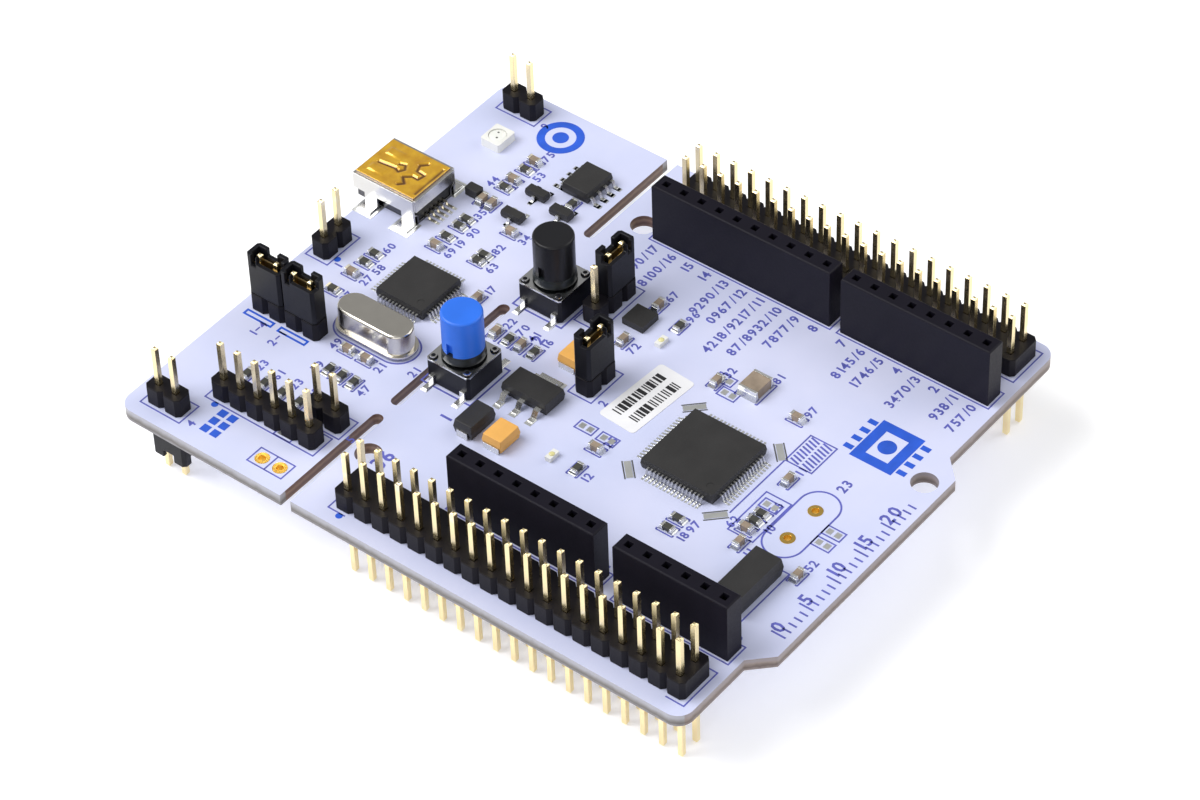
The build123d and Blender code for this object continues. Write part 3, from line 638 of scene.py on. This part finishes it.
def mark_headers():
    """Thin outlines round the headers and sockets, and a number below each small header."""
    for name in ("left_header_base", "right_header_base"):
        low, high = frame_box(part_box(name), 0.4)
        for end, inner in ((low.y, low.y + 2.4 * MM), (high.y, high.y - 2.4 * MM)):
            fine.ribbon([(low.x, inner), (low.x, end), (high.x, end), (high.x, inner)], FINE_LINE)
    for name, margin in (("debug_header_base", 0.4),
                         ("power_select_base", 0.5), ("power_socket", 0.3), ("analog_socket", 0.3),
                         ("digital_socket_long", 0.3), ("digital_socket_short", 0.3)):
        low, high = frame_box(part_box(name), margin)
        fine.rectangle(low, high, FINE_LINE)
    for node in ("corner_header_bases", "option_header_bases"):
        for box in solids_of(node):
            fine.rectangle(*frame_box(box, 0.4), FINE_LINE)
            fine.number(str(random.randint(1, 9)), (box[0].x, box[0].y - 2.0 * MM), NUMBER_HEIGHT)


def mark_switches():
    for node in ("reset_base", "user_base"):
        low, high = frame_box(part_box(node), 0.45)
        fine.rectangle(low, high, FINE_LINE * 1.3)
        fine.number("1" if node == "user_base" else "2", (low.x - 3.6 * MM, low.y + 0.2 * MM), 1.6)


def oval_line(low, high, steps=12):
    """Points round a stadium that fills a box, whichever way it is longer."""
    size = high - low
    radius = min(size.x, size.y) / 2
    centre = (low + high) / 2
    half = Vector((size.x / 2 - radius, size.y / 2 - radius))
    points = []
    for quarter, (sx, sy) in enumerate(((1, 1), (-1, 1), (-1, -1), (1, -1))):
        corner = (centre.x + sx * half.x, centre.y + sy * half.y)
        points += [round_point(corner, radius, (quarter + i / steps) / 4) for i in range(steps + 1)]
    clean = [p for i, p in enumerate(points) if (Vector(p) - Vector(points[i - 1])).length > 1e-6]
    return clean


def mark_crystals():
    low, high = frame_box((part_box("crystal_can")[0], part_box("crystal_can")[1]), 0.25)
    fine.ribbon(oval_line(low, high), FINE_LINE * 1.2, True)
    fine.number("21", (low.x - 0.2 * MM, low.y - 1.9 * MM), NUMBER_HEIGHT)
    low, high = spot(25.0, 7.1), spot(36.3, 12.0)
    fine.ribbon(oval_line(low, high), FINE_LINE * 1.2, True)
    fine.number("23", spot(37.2, 8.6), LEGEND_HEIGHT)
    low, high = frame_box(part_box("slow_crystal"), 0.4)
    fine.rectangle(low, high, FINE_LINE)


def mark_board():
    """Marks that belong to the board itself rather than to one part."""
    for front in (77.0, 71.9):
        rear = front + 4.0
        bold.ribbon([spot(19.85, front), spot(20.55, front), spot(20.55, rear), spot(19.85, rear)],
                    0.26, True)
    for place in ((6.5, 73.6), (1.5, 50.9), (33.2, 78.3)):
        bold.disc(spot(*place), 0.42)
    fine.number("36", spot(9.6, 51.8), 1.9)
    for i, text in enumerate(("2-1", "1-4")):
        fine.number(text, spot(17.6, 74.6 + 2.8 * i), NUMBER_HEIGHT)
    # long box with a hatched tab beside the microcontroller
    fine.ribbon([spot(27.4, 16.9), spot(42.4, 16.9), spot(42.4, 13.3), spot(37.6, 13.3), spot(37.6, 16.9)],
                FINE_LINE)
    for i in range(8):
        start = 37.9 + 0.56 * i
        fine.ribbon([spot(start, 13.6), spot(start + 0.35, 15.0)], FINE_LINE * 1.4)
        fine.ribbon([spot(start, 15.3), spot(start + 0.35, 16.6)], FINE_LINE * 1.4)
    fine.ribbon([spot(25.3, 12.2), spot(32.4, 12.2), spot(32.4, 15.6), spot(25.3, 15.6)], FINE_LINE, True)
    # box round the two free holes at the left
    fine.ribbon([spot(2.0, 59.8), spot(4.45, 59.8), spot(4.45, 64.8), spot(2.0, 64.8)], FINE_LINE, True)
    fine.ribbon([spot(2.0, 62.3), spot(4.45, 62.3)], FINE_LINE)
    # scale along the front right edge
    for i in range(25):
        tall = 1.9 if i % 5 == 0 else 1.1
        start = 16.0 + i
        fine.ribbon([spot(start, 0.9), spot(start, 0.9 + tall)], 0.22)
        if i % 5 == 0:
            fine.number(str(i), spot(start + 0.25, 1.75), 1.7)


def mark_emblems():
    """Generic blue marks: a chip outline, a target and a block of squares."""
    centre = spot(45.9, 9.0)
    half = 2.7
    low = centre - Vector((half, half * 0.8)) * MM
    high = centre + Vector((half, half * 0.8)) * MM
    bold.ribbon([(low.x, low.y), (high.x, low.y), (high.x, high.y), (low.x, high.y)], 1.3, True)
    for i in range(4):
        offset = (i - 1.5) * 1.55 * MM
        bold.bar(Vector((centre.x + offset - 0.35 * MM, high.y + 0.85 * MM)),
                 Vector((centre.x + offset + 0.35 * MM, high.y + 2.0 * MM)))
        bold.bar(Vector((centre.x + offset - 0.35 * MM, low.y - 2.0 * MM)),
                 Vector((centre.x + offset + 0.35 * MM, low.y - 0.85 * MM)))
    bold.disc(centre, 1.1)
    ring = spot(65.6, 70.9)
    bold.ring(ring, 1.9, 2.9, 40)
    bold.disc(ring, 1.0)
    for i in range(3):
        for j in range(2):
            low = spot(2.5 + 1.45 * i, 69.9 + 1.45 * j)
            bold.bar(low, low + Vector((1.05, 1.05)) * MM)


mark_pin_legends()
mark_headers()
mark_switches()
mark_chip_parts()
mark_crystals()
mark_board()
mark_emblems()


# Pads and solder

def lead_pads(node, centre, reach, width):
    """A tinned pad under the outer part of every gull-wing lead of one chip."""
    for low, high in solids_of(node):
        size = high - low
        place = (low + high) / 2
        if (place - centre).length > 9 * MM:
            continue
        if size.x > size.y:
            side = 1 if place.x > centre.x else -1
            outer = high.x if side > 0 else low.x
            a = outer - side * size.x * 0.45
            b = outer + side * reach * MM
            pads.bar(Vector((min(a, b), low.y - width * MM)), Vector((max(a, b), high.y + width * MM)))
        else:
            side = 1 if place.y > centre.y else -1
            outer = high.y if side > 0 else low.y
            a = outer - side * size.y * 0.45
            b = outer + side * reach * MM
            pads.bar(Vector((low.x - width * MM, min(a, b))), Vector((high.x + width * MM, max(a, b))))


def turned_pad(place, length, width, degrees):
    """Bare rectangular pad at any angle."""
    centre = spot(*place)
    rotate = Matrix.Rotation(math.radians(degrees), 2)
    corners = []
    for sx, sy in ((-1, -1), (1, -1), (1, 1), (-1, 1)):
        corners.append(centre + rotate @ Vector((sx * length / 2, sy * width / 2)) * MM)
    pads.outline(corners)
    for side in (-1, 1):
        edge = rotate @ Vector((0, side * (width / 2 + 0.16))) * MM
        along = rotate @ Vector((length / 2 + 0.1, 0)) * MM
        grey.ribbon([centre + edge - along, centre + edge + along], 0.15)


mcu_centre = middle(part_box("mcu_body"))
link_centre = middle(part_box("link_chip_body"))
lead_pads("mcu_leads", mcu_centre, 0.35, 0.02)
lead_pads("link_chip_leads", link_centre, 0.35, 0.02)
for chip in ("interface_chip_body", "regulator_body"):
    lead_pads("small_chip_leads", middle(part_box(chip)), 0.45, 0.08)
for box in solids_of("sot_bodies"):
    lead_pads("small_chip_leads", middle(box), 0.3, 0.1)
for corner, degrees in TURNED_PADS:
    turned_pad(corner, *TURNED_PAD_SIZE, degrees)
for left, front in ((42.2, 28.2), (43.9, 29.9), (28.4, 34.6), (28.5, 37.7), (29.6, 5.9), (31.6, 5.9),
                    (30.9, 13.9), (7.6, 64.0), (8.6, 62.6)):
    for shift in (-0.55, 0.55):
        pads.bar(spot(left - 0.4, front + shift - 0.35), spot(left + 0.4, front + shift + 0.35))
    fine.ribbon([spot(left - 0.7, front - 1.2), spot(left + 0.7, front - 1.2),
                 spot(left + 0.7, front + 1.2), spot(left - 0.7, front + 1.2)], FINE_LINE, True)

FREE_HOLES = ((3.22, 63.6), (3.22, 61.0), (33.2, 9.54), (28.07, 9.54))
for left, front in FREE_HOLES:
    gold.ring(spot(left, front), 0.48, 0.88)


def plated_barrels():
    """Gold-plated walls of the free holes, with the ring on the underside."""
    mesh = bmesh.new()
    steps = 28
    for left, front in FREE_HOLES:
        rings = []
        for radius, level in ((0.43, BOARD_TOP + 0.03 * MM), (0.495, BOARD_TOP + 0.03 * MM),
                              (0.495, BOARD_BOTTOM), (0.88, BOARD_BOTTOM),
                              (0.88, BOARD_BOTTOM - 0.04 * MM), (0.43, BOARD_BOTTOM - 0.04 * MM)):
            rings.append([mesh.verts.new((*round_point(spot(left, front), radius * MM, i / steps), level))
                          for i in range(steps)])
        for ring, following in zip(rings, rings[1:] + rings[:1]):
            for i in range(steps):
                mesh.faces.new((ring[i], ring[(i + 1) % steps], following[(i + 1) % steps], following[i]))
    piece(mesh, "plated_barrels", gold_pad, smooth=False)


def pillow(mesh, low, high, skirt, top_share, spread_x=1.0, spread_y=0.4):
    """Solder heaped round a foot, such as a chip part's end: wide on the board, narrow above."""
    top = BOARD_TOP + (high.z - BOARD_TOP) * top_share
    layers = ((BOARD_TOP - 0.01 * MM, skirt), (BOARD_TOP + 0.04 * MM, skirt * 0.95),
              (BOARD_TOP + (top - BOARD_TOP) * 0.45, skirt * 0.42), (top, 0.03 * MM))
    rings = []
    for height, grow in layers:
        grow_x, grow_y = grow * spread_x, grow * spread_y
        corners = ((low.x - grow_x, low.y - grow_y), (high.x + grow_x, low.y - grow_y),
                   (high.x + grow_x, high.y + grow_y), (low.x - grow_x, high.y + grow_y))
        rings.append([mesh.verts.new((x, y, height)) for x, y in corners])
    join_rings(mesh, rings)


def join_rings(mesh, rings):
    """Closed skin through rings of equal length, capped at both ends."""
    for lower, upper in zip(rings, rings[1:]):
        count = len(lower)
        for i in range(count):
            mesh.faces.new((lower[i], lower[(i + 1) % count], upper[(i + 1) % count], upper[i]))
    mesh.faces.new(list(reversed(rings[0])))
    mesh.faces.new(rings[-1])


def piece(mesh, name, material, body="board", smooth=True, bevel=0.0):
    """Turns a bmesh into a piece that rides on a body."""
    bmesh.ops.recalc_face_normals(mesh, faces=mesh.faces)
    data = bpy.data.meshes.new(name)
    mesh.to_mesh(data)
    mesh.free()
    data.materials.append(material)
    obj = bpy.data.objects.new(name, data)
    bpy.context.scene.collection.objects.link(obj)
    if smooth:
        for polygon in data.polygons:
            polygon.use_smooth = True
    if bevel:
        cut = obj.modifiers.new("bevel", "BEVEL")
        cut.width = bevel * MM
        cut.segments = 2
        cut.limit_method = "ANGLE"
        cut.harden_normals = True
    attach(obj, body)
    return obj


def chip_solder():
    mesh = bmesh.new()
    caps = solids_of("chip_end_caps")
    for low, high in caps:
        size = high - low
        if size.x < size.y:
            pillow(mesh, low, high, 0.26 * MM, 0.6)
        else:
            pillow(mesh, low, high, 0.26 * MM, 0.6, spread_x=0.4, spread_y=1.0)
    piece(mesh, "chip_solder", solder, bevel=0.05)


chip_solder()
plated_barrels()


def joint(mesh, place, wire, spread_radius, height, face, away):
    """Concave cone of solder round a wire. Away is +1 above the board and -1 below it."""
    steps = 14
    profile = ((spread_radius, 0.0), (spread_radius * 0.94, 0.05), (spread_radius * 0.66, 0.2),
               (wire + 0.14, 0.5), (wire + 0.05, 0.8), (wire + 0.01, 1.0))
    rings = []
    for radius, share in profile:
        level = face + away * (share * height * MM - 0.01 * MM)
        rings.append([mesh.verts.new((*round_point(place, radius * MM, i / steps), level))
                      for i in range(steps)])
    join_rings(mesh, rings)


def tail_solder():
    """Solder under the board at every pin, socket contact and crystal wire."""
    mesh = bmesh.new()
    for node in ("left_header_pins", "right_header_pins", "small_header_pins", "socket_contacts"):
        for box in solids_of(node):
            joint(mesh, middle(box), 0.40, 0.92, 1.0, BOARD_BOTTOM, -1)
    low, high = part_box("crystal_can")
    for share in (-1, 1):
        place = middle((low, high)) + Vector((0, share * 2.44 * MM, 0))
        joint(mesh, place, 0.24, 0.75, 0.8, BOARD_BOTTOM, -1)
    piece(mesh, "tail_solder", solder)


tail_solder()


FILM_FLAT = 0.16


def usb_film():
    """Amber film with the shell's springs and folds pressed through it."""
    low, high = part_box("usb_tape")
    size = high - low
    columns, rows = 96, 120
    tongues = [(0.12, 0.62, 0.34, 0.92), (0.62, 0.62, 0.84, 0.92)]
    folds = [[(0.40, 0.86), (0.44, 0.60), (0.40, 0.52), (0.50, 0.47), (0.60, 0.52), (0.56, 0.60)],
             [(0.14, 0.36), (0.22, 0.30), (0.34, 0.40), (0.44, 0.30), (0.44, 0.20), (0.58, 0.18),
              (0.60, 0.32), (0.74, 0.36), (0.84, 0.28)]]

    def from_line(u, v, line):
        """Distance from a point to a line of points, in millimetres across the film."""
        here = Vector((u * size.x, v * size.y)) / MM
        corners = [Vector((a * size.x, b * size.y)) / MM for a, b in line]
        best = 10.0
        for start, end in zip(corners, corners[1:]):
            share = max(0.0, min(1.0, (here - start).dot(end - start) / (end - start).length_squared))
            best = min(best, (here - start.lerp(end, share)).length)
        return best

    def height(u, v):
        """Rise of the film above its lowest point, in millimetres."""
        level = FILM_FLAT
        for u0, v0, u1, v1 in tongues:
            inside = min(u - u0, u1 - u, (v - v0) * 1.2, (v1 - v) * 1.2)
            if inside > 0:
                level += 0.17 * min(1.0, inside / 0.05) * (0.35 + 0.65 * (v - v0) / (v1 - v0))
        for line in folds:
            away = from_line(u, v, line)
            level -= 0.14 * math.exp(-(away / 0.24) ** 2)
            level += 0.05 * math.exp(-((away - 0.42) / 0.18) ** 2)
        level -= 0.12 * math.exp(-((v - 0.045) * size.y / MM / 0.22) ** 2) * (1 if 0.10 < u < 0.90 else 0)
        return level + 0.012 * math.sin(11.0 * u + 5.0 * v) * math.sin(8.0 * v - 3.0 * u)

    mesh = bmesh.new()
    grids = []
    for base, top in ((low.z - 0.01 * MM, False), (high.z + FILM_FLAT * MM, True)):
        grid = []
        for j in range(rows + 1):
            v = j / rows
            line = []
            for i in range(columns + 1):
                u = i / columns
                level = base + (height(u, v) - FILM_FLAT if top else 0.0) * MM
                line.append(mesh.verts.new((low.x + u * size.x, low.y + v * size.y, level)))
            grid.append(line)
        grids.append(grid)
    under, over = grids
    for j in range(rows):
        for i in range(columns):
            mesh.faces.new((over[j][i], over[j][i + 1], over[j + 1][i + 1], over[j + 1][i]))
            mesh.faces.new((under[j][i], under[j + 1][i], under[j + 1][i + 1], under[j][i + 1]))
    rim = ([(0, i) for i in range(columns + 1)] + [(j, columns) for j in range(1, rows + 1)]
           + [(rows, i) for i in range(columns - 1, -1, -1)] + [(j, 0) for j in range(rows - 1, 0, -1)])
    for k, (j, i) in enumerate(rim):
        j2, i2 = rim[(k + 1) % len(rim)]
        mesh.faces.new((under[j][i], under[j2][i2], over[j2][i2], over[j][i]))
    film = piece(mesh, "usb_film", MATERIALS["amber_tape"])
    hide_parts("usb_tape")


usb_film()


def usb_solder():
    """Pads and solder under the shell's four feet and its five contacts."""
    shell_low, shell_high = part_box("usb_shell")
    centre = (shell_low.x + shell_high.x) / 2
    mesh = bmesh.new()
    for front in USB_FOOT_FRONTS:
        for side in (-1, 1):
            outer = centre + side * USB_FOOT_REACH * MM
            inner = outer - side * USB_FOOT_LENGTH * MM
            half_width = USB_FOOT_HALF_WIDTH * MM
            place = spot(0, front)
            low = Vector((min(inner, outer), place.y - half_width, BOARD_TOP))
            high = Vector((max(inner, outer), place.y + half_width, BOARD_TOP + 0.3 * MM))
            pillow(mesh, low, high, 0.45 * MM, 0.7)
            pads.bar(Vector((low.x - 0.6 * MM, low.y - 0.5 * MM)),
                     Vector((high.x + 0.6 * MM, high.y + 0.5 * MM)))
    piece(mesh, "usb_solder", solder, bevel=0.08)
    for low, high in solids_of("usb_contacts"):
        if low.z < BOARD_TOP + 0.1 * MM:
            pads.bar(Vector((low.x - 0.05 * MM, low.y - 0.5 * MM)),
                     Vector((high.x + 0.05 * MM, low.y + 0.9 * MM)))


usb_solder()


def switch_solder():
    mesh = bmesh.new()
    for low, high in solids_of("switch_terminals"):
        pillow(mesh, low, Vector((high.x, high.y, BOARD_TOP + 0.25 * MM)), 0.3 * MM, 0.8)
    piece(mesh, "switch_solder", solder, bevel=0.08)


switch_solder()


def dome(mesh, centre, radius, base, rise, steps=24, levels=5):
    """Low lens on a flat base."""
    rings = []
    for k in range(levels):
        angle = math.pi / 2 * k / levels
        reach = radius * math.cos(angle) * MM
        level = base + rise * math.sin(angle) * MM
        rings.append([mesh.verts.new((*round_point(centre, reach, i / steps), level)) for i in range(steps)])
    join_rings(mesh, rings)


def led_lenses():
    mesh = bmesh.new()
    small = bmesh.new()
    dots = bmesh.new()
    for box in solids_of("indicator_leds"):
        centre = middle(box)
        if box[1].x - box[0].x > 2.5 * MM:
            dome(mesh, centre, 1.12, box[1].z - 0.17 * MM, 0.14)
            for shift in (-0.42, 0.42):
                dot = centre + Vector((shift, shift * 0.5, 0)) * MM
                dome(dots, dot, 0.15, box[1].z - 0.05 * MM, 0.04, 12, 3)
        else:
            dome(small, centre, 0.36, box[1].z - 0.01 * MM, 0.16)
    piece(mesh, "status_lens", lens_clear)
    piece(small, "chip_led_lenses", lens_yellow)
    piece(dots, "status_dots", grey_ink)


led_lenses()


POST_SPREAD = 2.45


def cover_posts():
    """Melted heads of the plastic posts that hold each switch's metal cover."""
    mesh = bmesh.new()
    for low, high in solids_of("switch_covers"):
        centre = (low + high) / 2
        for x in (-1, 1):
            for y in (-1, 1):
                dome(mesh, centre + Vector((x, y, 0)) * POST_SPREAD * MM, 0.56, high.z - 0.31 * MM, 0.36)
    piece(mesh, "cover_posts", MATERIALS["switch_plastic"])


cover_posts()


# Marks on the label: plain bars, no words

def label_marks():
    low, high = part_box("product_label")
    centre = (low + high) / 2
    rotate = Matrix.Rotation(math.radians(LABEL_TURN), 2)
    layer = Layer()
    for row, (start, end) in enumerate(((-3.9, 3.9), (-3.6, 3.9))):
        cursor = start
        base = 0.45 if row == 0 else -1.75
        while cursor < end:
            width = random.choice((0.16, 0.16, 0.32, 0.5))
            corners = []
            top = base + LABEL_BAR_HEIGHT
            for x, y in ((cursor, base), (cursor + width, base), (cursor + width, top), (cursor, top)):
                corners.append(Vector(centre[:2]) + rotate @ Vector((x, y)) * MM)
            layer.outline(corners)
            cursor += width + random.choice((0.18, 0.18, 0.34))
    layer.finish("label_marks", black_ink, height=high.z)


label_marks()

fine.finish("silk_fine", silk_ink)
bold.finish("silk_bold", bold_ink)
pads.finish("tinned_pads", bare_pad, thickness=0.05 * MM)
gold.finish("gold_rings", gold_pad, thickness=0.05 * MM)
grey.finish("silk_grey", grey_ink)


# Floor, light and camera

def plane(name, corners, color, roughness):
    mesh = bpy.data.meshes.new(name)
    mesh.from_pydata(corners, [], [(0, 1, 2, 3)])
    obj = bpy.data.objects.new(name, mesh)
    bpy.context.scene.collection.objects.link(obj)
    material = surface(name, color, roughness, contrast=0.01, grain=20, relief=0.0)
    shader = material.node_tree.nodes["Principled BSDF"]
    shader.inputs["Emission Color"].default_value = (1.0, 1.0, 1.0, 1.0)
    shader.inputs["Emission Strength"].default_value = FLOOR_GLOW
    mesh.materials.append(material)
    return obj


FLOOR_REACH = 4.0
FLOOR_GLOW = 0.22
plane("floor", [(-FLOOR_REACH, -FLOOR_REACH, 0), (FLOOR_REACH, -FLOOR_REACH, 0),
                (FLOOR_REACH, FLOOR_REACH, 0), (-FLOOR_REACH, FLOOR_REACH, 0)], (0.985, 0.985, 0.985), 0.9)


def area_light(name, place, target, size, power, color=(1, 1, 1)):
    light = bpy.data.lights.new(name, "AREA")
    light.shape = "RECTANGLE"
    light.size, light.size_y = size
    light.energy = power
    light.color = color
    obj = bpy.data.objects.new(name, light)
    obj.location = place
    obj.rotation_euler = (Vector(target) - Vector(place)).to_track_quat("-Z", "Y").to_euler()
    bpy.context.scene.collection.objects.link(obj)


area_light("key", (-0.25, 0.35, 0.55), (0, 0, 0.01), (0.5, 0.5), 4.3)
area_light("fill", (0.45, -0.35, 0.40), (0, 0, 0.01), (0.6, 0.6), 1.7)
area_light("front", (-0.55, -0.30, 0.25), (0, 0, 0.01), (0.6, 0.4), 1.1)

world = bpy.data.worlds.new("studio")
bpy.context.scene.world = world
world.use_nodes = True
world.node_tree.nodes["Background"].inputs["Color"].default_value = (1.0, 1.0, 1.0, 1.0)
world.node_tree.nodes["Background"].inputs["Strength"].default_value = 0.36
bpy.context.scene.view_settings.view_transform = "Standard"

CAMERA_PLACE = Vector((-0.2760, -0.2294, 0.3533))
CAMERA_TARGET = Vector((-0.0021, -0.0027, 0.0103))
CAMERA_ROLL = -2.104
LENS = 132.1
camera_data = bpy.data.cameras.new("camera")
camera_data.lens = LENS
camera_data.sensor_width = 36.0
camera_data.clip_start = 0.01
camera = bpy.data.objects.new("camera", camera_data)
camera.location = CAMERA_PLACE
look = (CAMERA_TARGET - CAMERA_PLACE).to_track_quat("-Z", "Y").to_matrix()
camera.rotation_euler = (look @ Matrix.Rotation(math.radians(CAMERA_ROLL), 3, "Z")).to_euler()
bpy.context.scene.collection.objects.link(camera)
bpy.context.scene.camera = camera
